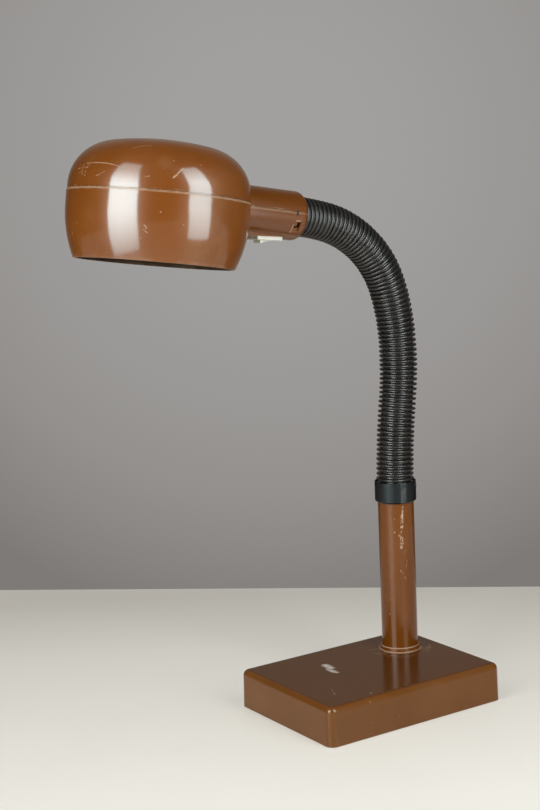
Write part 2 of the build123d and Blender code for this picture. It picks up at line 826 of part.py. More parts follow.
def bulb_cap():
    """Screw cap of the bulb, with its contact in the middle."""
    insulator = cap_length - cap_tip_height
    shoulder = insulator - cap_shoulder_height
    outline = Polyline((0, 0), (cap_radius, 0), (cap_radius, shoulder), (cap_shoulder_radius, shoulder),
                       (cap_insulator_radius, insulator), (cap_tip_radius, insulator),
                       (cap_tip_radius, cap_length), (0, cap_length), (0, 0))
    body = revolve(Plane.XZ * make_face(outline), Axis.Z)
    return Pos(bulb_tip - cap_length, 0, -neck_drop) * along_x(body)


def pear(inset):
    """Pear-shaped solid that ends at the cap's rim, inside the glass's outer face by an inset."""
    radius = bulb_radius - inset
    waist = bulb_waist_radius - inset
    lean = math.radians(bulb_waist_angle)
    centre = bulb_radius + cap_length - bulb_length
    touch = (radius * math.sin(lean), centre + radius * math.cos(lean))
    side = (math.cos(lean), -math.sin(lean))
    outline = Polyline((0, centre - radius), (0, 0), (waist, 0))
    outline += Spline((waist, 0), touch, tangents=((0, -1), side))
    outline += ThreePointArc(touch, (radius, centre), (0, centre - radius))
    return revolve(Plane.XZ * make_face(outline), Axis.Z)


def bulb_glass():
    """Hollow glass envelope in front of the cap."""
    glass = pear(0) - pear(bulb_wall)
    return Pos(bulb_tip - cap_length, 0, -neck_drop) * along_x(glass)


def heat_shield():
    """Pressed aluminium dish under the crown."""
    inset = shell_wall + shield_space
    across = (-head_radius, head_radius)
    dish = crown_solid(inset) - crown_solid(inset + shield_thickness)
    dish &= block(across, across, (shield_edge_height, crown_height))
    for x in (-shield_post_spread, shield_post_spread):
        dish -= Pos(x, 0, 0) * rod(screw_radius + slip_gap, 0, crown_height)
    return dish


def shield_screws():
    """The two screws that hold the heat shield to its posts."""
    middle = crown_height - shell_wall - shield_space - shield_thickness
    head_top = middle - shield_fall(shield_post_spread + screw_head_radius) - slip_gap
    tip = middle - shield_fall(shield_post_spread) + shield_screw_bite
    screw = pan_screw(head_top - screw_head_height, tip)
    return Compound(children=[Pos(x, 0, 0) * screw for x in (-shield_post_spread, shield_post_spread)])


# ------------------------------------------------------------------ head: switch
def switch_frame():
    """Place of the switch: its origin on the face that the bezel sits on, +Z into the neck."""
    return Pos(switch_place, 0, -switch_seat) * Rot(0, -pad_angle, 0)


def pivot_place():
    return switch_frame() * Pos(0, 0, -pivot_drop)


def switch_body():
    """Bezel and body of the rocker switch, with the well that the rocker tilts in."""
    half_bezel = (-bezel_length / 2, bezel_length / 2), (-bezel_width / 2, bezel_width / 2)
    half_switch = (-switch_length / 2, switch_length / 2), (-switch_width / 2, switch_width / 2)
    half_well = (-well_length / 2, well_length / 2), (-well_width / 2, well_width / 2)
    bezel = block(*half_bezel, (-bezel_height, 0))
    bezel = fillet(bezel.edges().filter_by(Axis.Z), bezel_corner)
    bezel = chamfer(bezel.edges().group_by(Axis.Z)[0], bezel_edge)
    body = bezel + block(*half_switch, (-past, switch_depth))
    body -= block(*half_well, (-bezel_height - past, well_depth))
    sockets = well_width + 2 * (pivot_length + slip_gap)
    body -= Pos(0, 0, -pivot_drop) * Rot(90, 0, 0) * Cylinder(pivot_radius + thread_gap, sockets)
    return switch_frame() * body


def switch_rocker():
    """Rocker with a dished face, pressed at its neck end."""
    half = rocker_length / 2
    rise = half * math.tan(math.radians(rocker_dish))
    brow = -rocker_crown - rise
    face = Polyline((-half, brow), (0, -rocker_crown), (half, brow), (half, rocker_side),
                    (half / 2, rocker_keel), (-half / 2, rocker_keel), (-half, rocker_side), (-half, brow))
    side = Plane(origin=(0, rocker_width / 2, 0), x_dir=(1, 0, 0), z_dir=(0, -1, 0))
    body = extrude(side * make_face(face), rocker_width)
    pins = Rot(90, 0, 0) * Cylinder(pivot_radius, well_width + 2 * pivot_length)
    return pivot_place() * Rot(0, -rocker_angle, 0) * (body + pins)


def switch_terminals():
    """Two blade terminals on the back of the switch."""
    half_thickness = terminal_thickness / 2
    half_width = terminal_width / 2
    blade = block((-half_thickness, half_thickness), (-half_width, half_width), (0, terminal_height))
    places = (-terminal_spread, terminal_spread)
    return Compound(children=[switch_frame() * Pos(x, 0, switch_depth) * blade for x in places])


# ------------------------------------------------------------------ the lamp
def lamp():
    """Every piece of the lamp by name, in the row's frame."""
    pieces = {
        "base_shell": base_shell(),
        "base_cover": base_cover(),
        "base_pad": base_pad(),
        "cover_screws": cover_screws(),
        "base_weight": base_weight(),
        "cord_grommet": cord_grommet(),
        "stem_tube": stem_tube(),
        "stem_foot_ring": stem_foot_ring(),
        "stem_rod": stem_rod(),
        "rod_washer": rod_washer(),
        "rod_nut": rod_nut(),
        "stem_plug": stem_plug(),
        "collar": collar(),
        "collar_screw": collar_screw(),
        "lower_coupler": lower_coupler(),
    }
    for index in range(link_count):
        pieces[f"sleeve_link_{index + 1:02d}"] = sleeve_link(index)
        pieces[f"core_link_{index + 1:02d}"] = core_link(index)
    head = {
        "upper_shell": upper_shell(),
        "lower_shell": lower_shell(),
        "upper_coupler": upper_coupler(),
        "neck_washer": neck_washer(),
        "neck_nut": neck_nut(),
        "holder_plate": holder_plate(),
        "holder_screws": holder_screws(),
        "lampholder": lampholder(),
        "socket_shell": socket_shell(),
        "centre_contact": centre_contact(),
        "bulb_cap": bulb_cap(),
        "bulb_glass": bulb_glass(),
        "heat_shield": heat_shield(),
        "shield_screws": shield_screws(),
        "switch_body": switch_body(),
        "switch_rocker": switch_rocker(),
        "switch_terminals": switch_terminals(),
    }
    place = head_place()
    pieces.update({name: place * piece for name, piece in head.items()})
    return pieces


os.makedirs("parts", exist_ok=True)
for name, piece in lamp().items():
    export_step(piece, f"parts/{name}.step")
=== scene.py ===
"""Looks of the gooseneck desk lamp: camera, light, materials, and the ribbed sleeve."""
import json
import math
import random

import bpy
from mathutils import Matrix, Vector


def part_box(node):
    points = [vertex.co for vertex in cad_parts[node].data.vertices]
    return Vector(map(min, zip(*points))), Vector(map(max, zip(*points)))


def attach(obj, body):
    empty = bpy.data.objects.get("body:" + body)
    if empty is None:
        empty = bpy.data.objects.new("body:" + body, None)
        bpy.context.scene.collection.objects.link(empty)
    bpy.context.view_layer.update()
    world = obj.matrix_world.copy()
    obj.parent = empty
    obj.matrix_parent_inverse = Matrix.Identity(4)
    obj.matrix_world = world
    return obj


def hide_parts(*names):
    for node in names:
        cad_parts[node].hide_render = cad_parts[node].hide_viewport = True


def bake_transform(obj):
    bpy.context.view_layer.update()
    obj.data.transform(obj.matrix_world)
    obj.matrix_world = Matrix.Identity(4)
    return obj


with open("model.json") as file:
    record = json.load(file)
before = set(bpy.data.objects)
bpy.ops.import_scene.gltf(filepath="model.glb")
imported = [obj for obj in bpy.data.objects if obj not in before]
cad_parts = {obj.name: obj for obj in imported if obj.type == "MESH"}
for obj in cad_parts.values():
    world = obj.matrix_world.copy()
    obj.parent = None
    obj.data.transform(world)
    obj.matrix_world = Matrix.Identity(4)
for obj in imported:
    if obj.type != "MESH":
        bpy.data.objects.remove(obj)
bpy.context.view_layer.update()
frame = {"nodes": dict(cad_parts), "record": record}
nodes = frame["nodes"]
MM = 0.001

# ---------------------------------------------------------------- camera

CAMERA_PLACE = Vector((-0.80945, -1.09653, 0.48830))
CAMERA_FORWARD = Vector((0.5395, 0.8276, -0.1547)).normalized()
CAMERA_ROLL = -0.043
CAMERA_LENS = 70.0
SENSOR = 36.0  # mm, along the picture's longer side
PHOTO_SIZE = (540, 810)
FOCAL_PIXELS = CAMERA_LENS / SENSOR * PHOTO_SIZE[1]


def camera_axes():
    """The camera's right, up and forward directions."""
    right = CAMERA_FORWARD.cross(Vector((0, 0, 1))).normalized()
    up = right.cross(CAMERA_FORWARD)
    c, s = math.cos(CAMERA_ROLL), math.sin(CAMERA_ROLL)
    return right * c + up * s, up * c - right * s, CAMERA_FORWARD


def add_camera():
    right, up, forward = camera_axes()
    data = bpy.data.cameras.new("camera")
    data.lens = CAMERA_LENS
    data.clip_start, data.clip_end = 0.05, 50
    camera = bpy.data.objects.new("camera", data)
    bpy.context.scene.collection.objects.link(camera)
    turn = Matrix((right, up, -forward)).transposed().to_4x4()
    camera.matrix_world = Matrix.Translation(CAMERA_PLACE) @ turn
    bpy.context.scene.camera = camera


def table_point(x, y):
    """The point of the table that shows at a place of the picture."""
    right, up, forward = camera_axes()
    ray = forward * FOCAL_PIXELS + right * (x - PHOTO_SIZE[0] / 2) + up * (PHOTO_SIZE[1] / 2 - y)
    return CAMERA_PLACE - ray * (CAMERA_PLACE.z / ray.z)


# ---------------------------------------------------------------- materials

BROWN = (0.245, 0.070, 0.0065)
BASE_BROWN = (0.21, 0.074, 0.0135)
BASE_TOP_PAINTED_SHADE = (0.118, 0.040, 0.010)
STEM_BROWN = (0.21, 0.062, 0.0055)
PALE = (0.5, 0.33, 0.2)
STEM_PALE = (0.7, 0.5, 0.34)
SEAM_GRIME_AND_SHADOW = (0.035, 0.014, 0.004)
HAZE = (0.33, 0.155, 0.055)
PAINTED_SHADE_INSIDE = (0.075, 0.044, 0.026)
NOTCH_PAINTED_SHADE = (0.012, 0.008, 0.005)
TORN_PAPER = (0.75, 0.73, 0.64)
COLLAR_PAINTED_HIGHLIGHT = (0.085, 0.085, 0.085)
WARM = (1, 0.8, 0.72)  # tint of the gloss of base and stem
VINYL_WARM = (1, 0.8, 0.74)
COAT_ROUGHNESS = 0.11
RUBBED_EDGE, METAL_EDGE = 0.0009, 0.0006  # m, how far from an edge it is rubbed
EDGE_FROM_TO = (0.98, 0.75)  # cosine between the bevelled and the flat normal
STROKE_CORE = 0.35  # share of a worn line's half width that is fully worn
WAVE_HEIGHT, WAVE_STRENGTH = 0.0003, 0.03  # of moulded faces, which are never quite flat
DRAWN_GRAIN = (40, 2600, 2600)  # the lines of drawn metal, per m
NOISE_MIDDLE = (0.5, 0.5, 0.5)  # of a noise's colour


class Tree:
    """A node tree under construction. Each method adds a node and gives back its output."""

    def __init__(self, tree):
        self.tree = tree
        self.tree.nodes.clear()

    def add(self, kind, inputs=None, **settings):
        node = self.tree.nodes.new("ShaderNode" + kind)
        for key, value in settings.items():
            setattr(node, key, value)
        for key, value in (inputs or {}).items():
            self.put(node.inputs[key], value)
        return node

    def put(self, socket, value):
        if isinstance(value, bpy.types.NodeSocket):
            self.tree.links.new(value, socket)
        else:
            socket.default_value = value

    def math(self, operation, a, b=0.0, clamp=False):
        return self.add("Math", {0: a, 1: b}, operation=operation, use_clamp=clamp).outputs[0]

    def vector(self, operation, a, b=(0, 0, 0), scale=1.0, value=False):
        node = self.add("VectorMath", {0: a, 1: b, 3: scale}, operation=operation)
        return node.outputs["Value" if value else "Vector"]

    def step(self, value, low, high, to_low=0.0, to_high=1.0):
        """A smooth step, from to_low where the value is low, to to_high where it is high."""
        inputs = {"Value": value, "From Min": low, "From Max": high, "To Min": to_low, "To Max": to_high}
        return self.add("MapRange", inputs, interpolation_type="SMOOTHSTEP").outputs[0]

    def mix(self, share, a, b):
        node = self.add("Mix", data_type="RGBA")
        for key, value in ((0, share), (6, a), (7, b)):
            self.put(node.inputs[key], value if not isinstance(value, tuple) else (*value[:3], 1))
        return node.outputs[2]

    def ramp(self, value, stops):
        """A colour ramp of stops, each a position and a colour. The first two move the ramp's own."""
        node = self.add("ValToRGB", {0: value})
        elements = node.color_ramp.elements
        for index, (position, colour) in enumerate(stops):
            stop = elements[index] if index < 2 else elements.new(position)
            stop.position, stop.color = position, (*colour, 1)
        return node.outputs[0]

    def either(self, *masks):
        total = masks[0]
        for mask in masks[1:]:
            total = self.math("MAXIMUM", total, mask)
        return total

    def both(self, a, b):
        return self.math("MULTIPLY", a, b)

    def band(self, value, low, high, soft):
        """1 between low and high, with soft ends."""
        return self.both(self.step(value, low - soft, low), self.step(value, high + soft, high))

    def patch(self, x, z, across, upward):
        """1 in a rectangle: for each direction its low and high end and how soft they are."""
        return self.both(self.band(x, *across), self.band(z, *upward))


class Graph(Tree):
    """A material under construction."""

    def __init__(self, name):
        self.material = bpy.data.materials.new(name)
        self.material.use_nodes = True
        super().__init__(self.material.node_tree)
        self.shader = self.add("BsdfPrincipled")
        self.add("OutputMaterial", {0: self.shader.outputs[0]})
        self.place = self.add("TexCoord").outputs["Object"]

    def set(self, **values):
        for key, value in values.items():
            self.put(self.shader.inputs[key.replace("_", " ")], value)

    def stretched(self, scale, turn=(0, 0, 0), at=None):
        """A place on turned and scaled axes, for a pattern that runs one way."""
        inputs = {"Vector": at or self.place, "Rotation": turn}
        rotated = self.add("VectorRotate", inputs, rotation_type="EULER_XYZ")
        return self.vector("MULTIPLY", rotated.outputs[0], scale)

    def noise(self, scale, detail=3.0, roughness=0.55, at=None):
        inputs = {"Vector": at or self.place, "Scale": scale, "Detail": detail, "Roughness": roughness}
        return self.add("TexNoise", inputs).outputs[0]

    def cells(self, scale, at=None):
        return self.add("TexVoronoi", {"Vector": at or self.place, "Scale": scale}).outputs["Distance"]

    def edges(self, radius):
        """Where the surface turns over an edge within that radius."""
        bevel = self.add("Bevel", {"Radius": radius}, samples=4).outputs[0]
        flat = self.add("NewGeometry").outputs["Normal"]
        return self.step(self.vector("DOT_PRODUCT", bevel, flat, value=True), *EDGE_FROM_TO)

    def bump(self, height, distance, strength, normal=None):
        inputs = {"Height": height, "Distance": distance, "Strength": strength}
        if normal is not None:
            inputs["Normal"] = normal
        return self.add("Bump", inputs).outputs[0]

    def scratches(self, size, spread, turn, amount, at=None):
        """Short thin lines of about that length and width, in metres, in one direction."""
        length, width = size
        scale = (1 / length, 1 / width / spread, 1 / width)
        near = self.cells(1.0, self.stretched(scale, turn, at))
        patchy = self.noise(1 / length / 4, 1, at=at)
        return self.both(self.step(near, 0.16, 0.06), self.step(patchy, 0.62 - amount, 0.72 - amount))

    def stroke(self, at, start, end, width):
        """A worn line between two points, in mm and of that half width, as a mask."""
        start, end = Vector(start) * MM, Vector(end) * MM
        along = end - start
        from_start = self.vector("SUBTRACT", at, start)
        share = self.vector("DOT_PRODUCT", from_start, along / along.length_squared, value=True)
        share = self.math("MINIMUM", self.math("MAXIMUM", share, 0.0), 1.0)
        foot = self.vector("SCALE", tuple(along), scale=share)
        gap = self.vector("LENGTH", self.vector("SUBTRACT", from_start, foot), value=True)
        return self.step(gap, width * MM, width * MM * STROKE_CORE)

    def blob(self, at, middle, radius, soft):
        """A round patch, in mm, whose rim is soft over that share of its radius, as a mask."""
        gap = self.vector("DISTANCE", at, tuple(Vector(middle) * MM), value=True)
        return self.step(gap, radius * MM, radius * MM * (1 - soft))


def shade(colour, factor):
    return tuple(min(1.0, c * factor) for c in colour)


def moulded(
    name, colour, worn, roughness, coat=1.0, level=0.15, tint=(1, 1, 1), wear=1.0, dust=0.25, extra=None
):
    """Moulded plastic or paint: a clouded colour, a thin film, fine scratches, specks and rubbed edges."""
    g = Graph(name)
    cloud = g.noise(16, 4)
    base = g.mix(g.step(cloud, 0.3, 0.7), shade(colour, 0.93), shade(colour, 1.07))
    film = g.step(g.noise(9, 5, 0.62), 0.45, 0.75)
    base = g.mix(g.both(film, dust * 0.22), base, worn)
    fine = g.either(
        g.scratches((0.008, 0.00009), 9, (0.4, 0.3, 0.9), 0.07 * wear),
        g.scratches((0.005, 0.00008), 9, (1.3, 0.2, 2.2), 0.05 * wear),
    )
    specks = g.both(g.step(g.cells(260), 0.085, 0.05), g.step(g.noise(45, 2), 0.53, 0.6))
    where = g.step(g.noise(300, 4, 0.7), 0.66 - 0.2 * wear, 0.74 - 0.12 * wear)
    rubbed = g.both(g.edges(RUBBED_EDGE), where)
    marks = g.either(g.both(fine, 0.3), g.both(specks, 0.5), g.both(rubbed, 0.8))
    if extra:
        base, marks = extra(g, base, marks)
    g.set(Base_Color=g.mix(marks, base, worn))
    rough = g.math("ADD", roughness, g.both(film, 0.12))
    g.set(Roughness=g.math("ADD", rough, g.both(marks, 0.3), clamp=True))
    g.set(Specular_IOR_Level=level, Specular_Tint=(*tint, 1))
    if coat:
        g.set(Coat_Roughness=COAT_ROUGHNESS)
        g.set(Coat_Weight=g.math("SUBTRACT", coat, g.both(marks, coat)))
    wavy = g.bump(g.noise(240, 2), WAVE_HEIGHT, WAVE_STRENGTH)
    g.set(Normal=g.bump(g.math("SUBTRACT", 1.0, marks), 0.0001, 0.4, wavy))
    return g


def metal(name, colour, dull, roughness=0.28, rust=None):
    """Bare or plated metal: drawn lines, dull clouds, dark spots and bright edges."""
    g = Graph(name)
    lines = g.noise(1.0, 3, at=g.stretched(DRAWN_GRAIN))
    cloud = g.step(g.noise(55, 5, 0.65), 0.4, 0.7)
    tint = g.mix(cloud, colour, dull)
    tint = g.mix(g.step(lines, 0.35, 0.75, 0, 0.35), tint, shade(colour, 0.7))
    spots = g.both(g.step(g.cells(480), 0.16, 0.08), g.step(g.noise(90, 3), 0.5, 0.6))
    tint = g.mix(g.both(spots, 0.7), tint, rust or shade(dull, 0.4))
    bright = g.both(g.edges(METAL_EDGE), 0.6)
    g.set(Base_Color=g.mix(bright, tint, shade(colour, 1.25)), Metallic=1.0)
    rough = g.math("ADD", roughness, g.both(cloud, 0.2))
    g.set(Roughness=g.math("ADD", rough, g.both(lines, 0.12), clamp=True))
    g.set(Normal=g.bump(lines, 0.00003, 0.5, g.bump(g.noise(300, 3), 0.00006, 0.4)))
    return g


# The head's own axes, from the middle of the drum at its seam.
HEAD_PLACE = Vector((-0.176248, 0.02554, 0.461559))
HEAD_X = Vector((0.98768834, 0.0, -0.15643447))
HEAD_Z = Vector((0.15641064, 0.01745241, 0.98753791))
HEAD_Y = HEAD_Z.cross(HEAD_X)


def head_place(g):
    """Place on the head's own axes: +X along the neck, +Z up from the seam."""
    moved = g.vector("SUBTRACT", g.place, HEAD_PLACE)
    parts = [g.vector("DOT_PRODUCT", moved, axis, value=True) for axis in (HEAD_X, HEAD_Y, HEAD_Z)]
    return g.add("CombineXYZ", dict(enumerate(parts))).outputs[0], parts


def at_axis(g):
    """The nearest place on the head's own upright axis."""
    moved = g.vector("SUBTRACT", g.place, HEAD_PLACE)
    height = g.vector("DOT_PRODUCT", moved, HEAD_Z, value=True)
    return g.vector("ADD", g.vector("SCALE", HEAD_Z, scale=height), HEAD_PLACE)


# Old marks on the head, in mm on its own axes: from, to, half width, strength.
HEAD_SCRATCHES = (
    ((-72.8, 2.2, 13.9), (-71.6, -11.7, 14.7), 0.28, 0.6),
    ((-71.6, 2.4, 17.2), (-72.7, -11.1, 10.8), 0.25, 0.6),
    ((-71.5, -4.2, 17.9), (-73.7, -6.2, 8.9), 0.25, 0.55),
    ((-70.7, -12.9, 16.7), (-73.7, -1.8, 10.2), 0.22, 0.5),
    ((-72.0, -0.5, 12.0), (-71.0, -8.5, 17.0), 0.2, 0.45),
    ((-70.9, -8.1, 17.8), (-68.4, -20.1, 18.3), 0.3, 0.65),
    ((-68.4, -20.1, 18.3), (-64.9, -30.1, 17.8), 0.32, 0.7),
    ((-64.9, -30.1, 17.8), (-62.5, -35.5, 16.9), 0.28, 0.6),
    ((-62.5, -35.5, 16.9), (-59.3, -41.2, 15.4), 0.22, 0.45),
    ((-73.4, -9.4, 8.6), (-71.9, -15.5, 7.3), 0.22, 0.5),
    ((-71.9, -15.5, 7.3), (-69.5, -25.4, 8.3), 0.25, 0.5),
    ((-69.5, -25.4, 8.3), (-66.5, -30.9, 11.6), 0.2, 0.4),
    ((-27.3, -68.3, 9.9), (-24.6, -69.1, 12.4), 0.55, 0.75),
    ((-24.0, -68.9, 13.3), (-19.2, -68.9, 17.9), 0.45, 0.6),
    ((-48.4, -39.3, 30.8), (-43.4, -41.4, 33.0), 0.22, 0.4),
    ((-43.4, -41.4, 33.0), (-35.9, -46.2, 34.1), 0.22, 0.4),
    ((-46.6, -57.2, 8.2), (-43.2, -59.9, 9.6), 0.2, 0.5),
    ((-41.5, -59.5, -33.5), (-44.5, -57.6, -31.0), 0.3, 0.5),
    ((-44.3, -58.7, -27.9), (-42.3, -59.7, -29.4), 0.35, 0.6),
)
# Small chips on the head: place, radius, strength.
HEAD_CHIPS = (
    ((-26.5, -68.6, 10.7), 1.0, 0.9), ((-20.6, -68.9, 16.8), 0.9, 0.8), ((-25.4, -63.8, 23.0), 0.7, 0.8),
    ((-4.3, -69.1, 22.2), 0.7, 0.7), ((-34.8, -66.1, -17.1), 0.9, 0.9), ((-17.2, -71.9, -25.0), 0.7, 0.8),
    ((-71.4, 7.4, -36.9), 0.8, 0.9), ((-73.3, -4.1, -28.7), 0.7, 0.8), ((-43.0, -59.3, -30.3), 0.8, 0.7),
    ((-44.9, -55.8, -37.8), 0.7, 0.6), ((-69.7, -2.4, -44.1), 0.7, 0.7), ((-45.3, -52.1, -46.1), 0.7, 0.7),
    ((-45.6, -58.0, 9.2), 0.6, 0.7), ((1.5, -73.6, 9.8), 0.6, 0.6), ((-60.5, -30.5, -50.8), 0.7, 0.6),
    ((14.0, -69.0, -35.2), 0.7, 0.6),
)
# Dull patches of old film: place, radius, strength.
HEAD_HAZE = (
    ((-5.5, -69.3, -44.9), 15, 0.5), ((12.0, -69.0, -43.0), 17, 0.6), ((28.3, -64.5, -41.9), 12, 0.4),
    ((9.7, -74.1, -14.9), 9, 0.35), ((15.0, -73.3, -6.6), 7, 0.3), ((22.9, -69.8, -29.1), 10, 0.3),
    ((7.1, -73.6, 8.0), 8, 0.3), ((-32.0, -62.0, 21.4), 9, 0.35), ((-70.0, -18.0, -25.0), 14, 0.3),
    ((-71.0, -10.0, 20.0), 10, 0.2),
)
# Bands on the head's own axes, in m: low end, high end, softness.
SEAM_RUB = (-0.0017, -0.0003, 0.0004)
SEAM_CRACK = (0.0, 0.0005, 0.0002)
SEAM_LIP = (0.0006, 0.0012, 0.0003)
RIM_RUB = (-0.0547, -0.0528, 0.0006)
# The snap window on the neck: the same along the neck, then the same upwards.
WINDOW_LEFT = (0.1199, 0.1208, 0.0002), (-0.0176, -0.0112, 0.0003)
WINDOW_TOP = (0.1222, 0.1264, 0.0003), (-0.0086, -0.0072, 0.0003)
WINDOW_NOTCH = (0.1216, 0.1232, 0.0003), (-0.0030, 0.0010, 0.0004)
NEAR_SIDE = (-0.010, -0.012)  # the side of the neck that the photo shows
NECK_SHADE_FROM = (0.070, 0.078)  # where the drum passes into the neck, and the neck's painted shade begins
SEAM_FADE = (0.074, 0.080)
INSIDE_UP_TO = (0.072, 0.070)
INSIDE_TURN = (0.005, 0.02)  # m, how far a face of the inside turns to the axis
SEAM_RAGGED = 0.0016  # m, the height of the seam's uneven line
CRUMB_WIDEN, CRUMB_STRENGTHEN = 1.7, 2.1  # a scratch is broken up, so it's wider and stronger


def head_marks(g, base, marks):
    """The rubbed seam, the window's pale edges, partly chips and partly painted highlight, and the old
    scratches, chips and dull patches. Painted shade darkens the neck, the inside of the lampshade and the
    window's notch, and grime with painted shadow darkens the seam's gap.
    """
    at, (x, y, z) = head_place(g)
    ragged = g.math("SUBTRACT", g.noise(1.0, 3, 0.7, at=g.stretched((160, 160, 60), at=at)), 0.5)
    height = g.math("ADD", z, g.both(ragged, SEAM_RAGGED))
    along = g.step(g.noise(38, 4, 0.7), 0.3, 0.55, 0.25, 0.6)
    seam = g.both(g.band(height, *SEAM_RUB), g.both(along, g.step(x, *SEAM_FADE, 1.0, 0.6)))
    crack_grime_and_shadow = g.both(g.band(z, *SEAM_CRACK), g.step(x, -0.06, 0.02, 0.25, 0.9))
    lip = g.both(g.band(height, *SEAM_LIP), g.step(g.noise(55, 3, 0.7), 0.52, 0.66, 0.0, 0.35))
    rim = g.both(g.band(z, *RIM_RUB), g.step(g.noise(60, 4, 0.7), 0.35, 0.65, 0.0, 0.2))
    crumbs = g.step(g.noise(700, 2, 0.6), 0.3, 0.5, 0.5, 1.0)
    found = [seam, lip, rim]
    for start, end, width, strength in HEAD_SCRATCHES:
        line = g.both(g.stroke(at, start, end, width * CRUMB_WIDEN), crumbs)
        found.append(g.both(line, min(1.0, strength * CRUMB_STRENGTHEN)))
    for place, radius, strength in HEAD_CHIPS:
        found.append(g.both(g.blob(at, place, radius, 0.6), strength))
    near = g.step(y, *NEAR_SIDE)
    # The window's pale left and top edges are partly chips and partly a painted highlight.
    window = g.either(g.patch(x, z, *WINDOW_LEFT), g.patch(x, z, *WINDOW_TOP))
    found.append(g.both(g.both(window, near), 2.0))
    hazes = [g.both(g.blob(at, place, radius, 0.8), strength) for place, radius, strength in HEAD_HAZE]
    haze = g.both(g.either(*hazes), g.step(g.noise(60, 4, 0.6), 0.35, 0.6))
    base = g.mix(g.both(haze, 0.8), base, HAZE)
    # A dark line just above the seam: grime, with painted shadow in the gap between the shells.
    base = g.mix(g.both(crack_grime_and_shadow, 0.8), base, SEAM_GRIME_AND_SHADOW)
    # Painted shade: the neck is painted darker than the drum.
    base = g.mix(g.step(x, *NECK_SHADE_FROM), base, shade(BROWN, 0.78))
    # Painted shade: the faces inside the lampshade are painted dark.
    normal = {0: g.add("NewGeometry").outputs["Normal"]}
    to_object = {"vector_type": "NORMAL", "convert_from": "WORLD", "convert_to": "OBJECT"}
    facing = g.add("VectorTransform", normal, **to_object).outputs[0]
    inward = g.vector("DOT_PRODUCT", facing, g.vector("SUBTRACT", at_axis(g), g.place), value=True)
    inside = g.both(g.step(inward, *INSIDE_TURN), g.step(x, *INSIDE_UP_TO))
    base = g.mix(inside, base, PAINTED_SHADE_INSIDE)
    # Painted shade: the notch in the window is painted near-black, and marks are left out there.
    notch_shade = g.both(g.patch(x, z, *WINDOW_NOTCH), near)
    base = g.mix(notch_shade, base, NOTCH_PAINTED_SHADE)
    return base, g.both(g.either(marks, *found), g.math("SUBTRACT", 1.0, notch_shade))


def scratched(g, scratches, chips, crumbs):
    """Masks of the scratches, each broken up by the crumbs, and of the chips of a node."""
    found = []
    for start, end, width, strength in scratches:
        found.append(g.both(g.both(g.stroke(g.place, start, end, width), crumbs), strength))
    for place, radius, strength in chips:
        found.append(g.both(g.blob(g.place, place, radius, 0.6), strength))
    return found


# Marks on the base, in mm: from, to, half width, strength.
BASE_SCRATCHES = (
    ((-62.0, -27.0, 34.5), (-64.5, -33.0, 34.5), 0.5, 0.5),
    ((-64.5, -33.0, 34.5), (-68.5, -42.0, 34.5), 0.7, 0.7),
    ((37.0, -69.8, 28.2), (41.5, -69.8, 28.6), 0.7, 0.9), ((46.0, -69.8, 32.2), (49.5, -69.8, 30.3), 0.4, 0.5),
    ((22.0, 26.0, 34.5), (33.0, 22.0, 34.5), 0.8, 0.4), ((24.5, 19.6, 34.5), (34.0, 17.0, 34.5), 0.6, 0.35),
    ((68.0, 1.0, 34.5), (80.0, 13.0, 34.5), 1.2, 0.35), ((62.0, 0.0, 34.5), (74.0, -6.0, 34.5), 0.8, 0.3),
    ((-94.3, 30.0, 30.4), (-94.3, 12.0, 31.0), 0.4, 0.5), ((84.0, -69.8, 29.5), (90.0, -69.8, 29.0), 0.5, 0.5),
)
BASE_CHIPS = (
    ((-42.7, -58.6, 34.5), 1.4, 0.9), ((-51.4, -69.0, 31.5), 1.0, 0.7), ((-51.1, -69.8, 13.0), 0.8, 0.4),
    ((-21.1, -69.8, 12.0), 0.8, 0.4), ((-94.3, 18.0, 30.8), 0.8, 0.5), ((-94.3, 52.0, 28.6), 0.7, 0.4),
    ((6.0, -69.8, 20.0), 0.6, 0.35), ((28.0, 52.0, 34.5), 0.9, 0.5),
)
STEM_SCRATCHES = (
    ((50.4, 9.6, 171.0), (49.8, 9.8, 163.0), 1.0, 0.8), ((49.7, 9.9, 164.0), (49.0, 10.1, 152.0), 1.7, 1.0),
    ((49.3, 10.0, 149.0), (46.4, 11.4, 144.5), 0.9, 0.9), ((47.6, 10.7, 145.0), (48.6, 10.2, 139.0), 1.2, 0.8),
    ((49.0, 10.1, 142.0), (48.1, 10.5, 133.0), 1.6, 0.9), ((50.3, 9.6, 128.0), (51.0, 9.5, 123.0), 0.4, 0.5),
    ((53.5, 9.1, 121.0), (52.0, 9.3, 114.0), 0.4, 0.6), ((47.2, 10.9, 112.0), (51.5, 9.3, 103.5), 0.4, 0.6),
)
STEM_CHIPS = (
    ((43.3, 13.7, 147.6), 0.9, 1.0), ((43.6, 13.5, 160.0), 0.6, 0.6), ((47.2, 10.9, 111.4), 0.8, 0.8),
    ((51.5, 9.3, 130.0), 0.6, 0.6), ((39.6, 19.4, 70.4), 0.8, 0.6), ((50.0, 9.8, 137.0), 0.8, 0.7),
)
# The torn patch on the base's top, in mm: from, to, half width.
TORN_UPPER = (-29.5, 27.5, 34.5), (-30.0, 17.5, 34.5), 4.6
TORN_LOWER = (-34.0, 16.0, 34.5), (-33.5, 5.0, 34.5), 3.4
TORN_RAGGED = 0.006  # m, how far noise pushes its outline
STEM_X, STEM_Y, RING_RADIUS, BASE_TOP = 0.0549, 0.0255, 0.0188, 0.0345
RING_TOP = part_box("stem_foot_ring")[1][2]
FOOT_SCUFF = (0.0190, 0.0198, 0.0004)  # m from the stem's axis
FOOT_HALO = (0.034, 0.020)
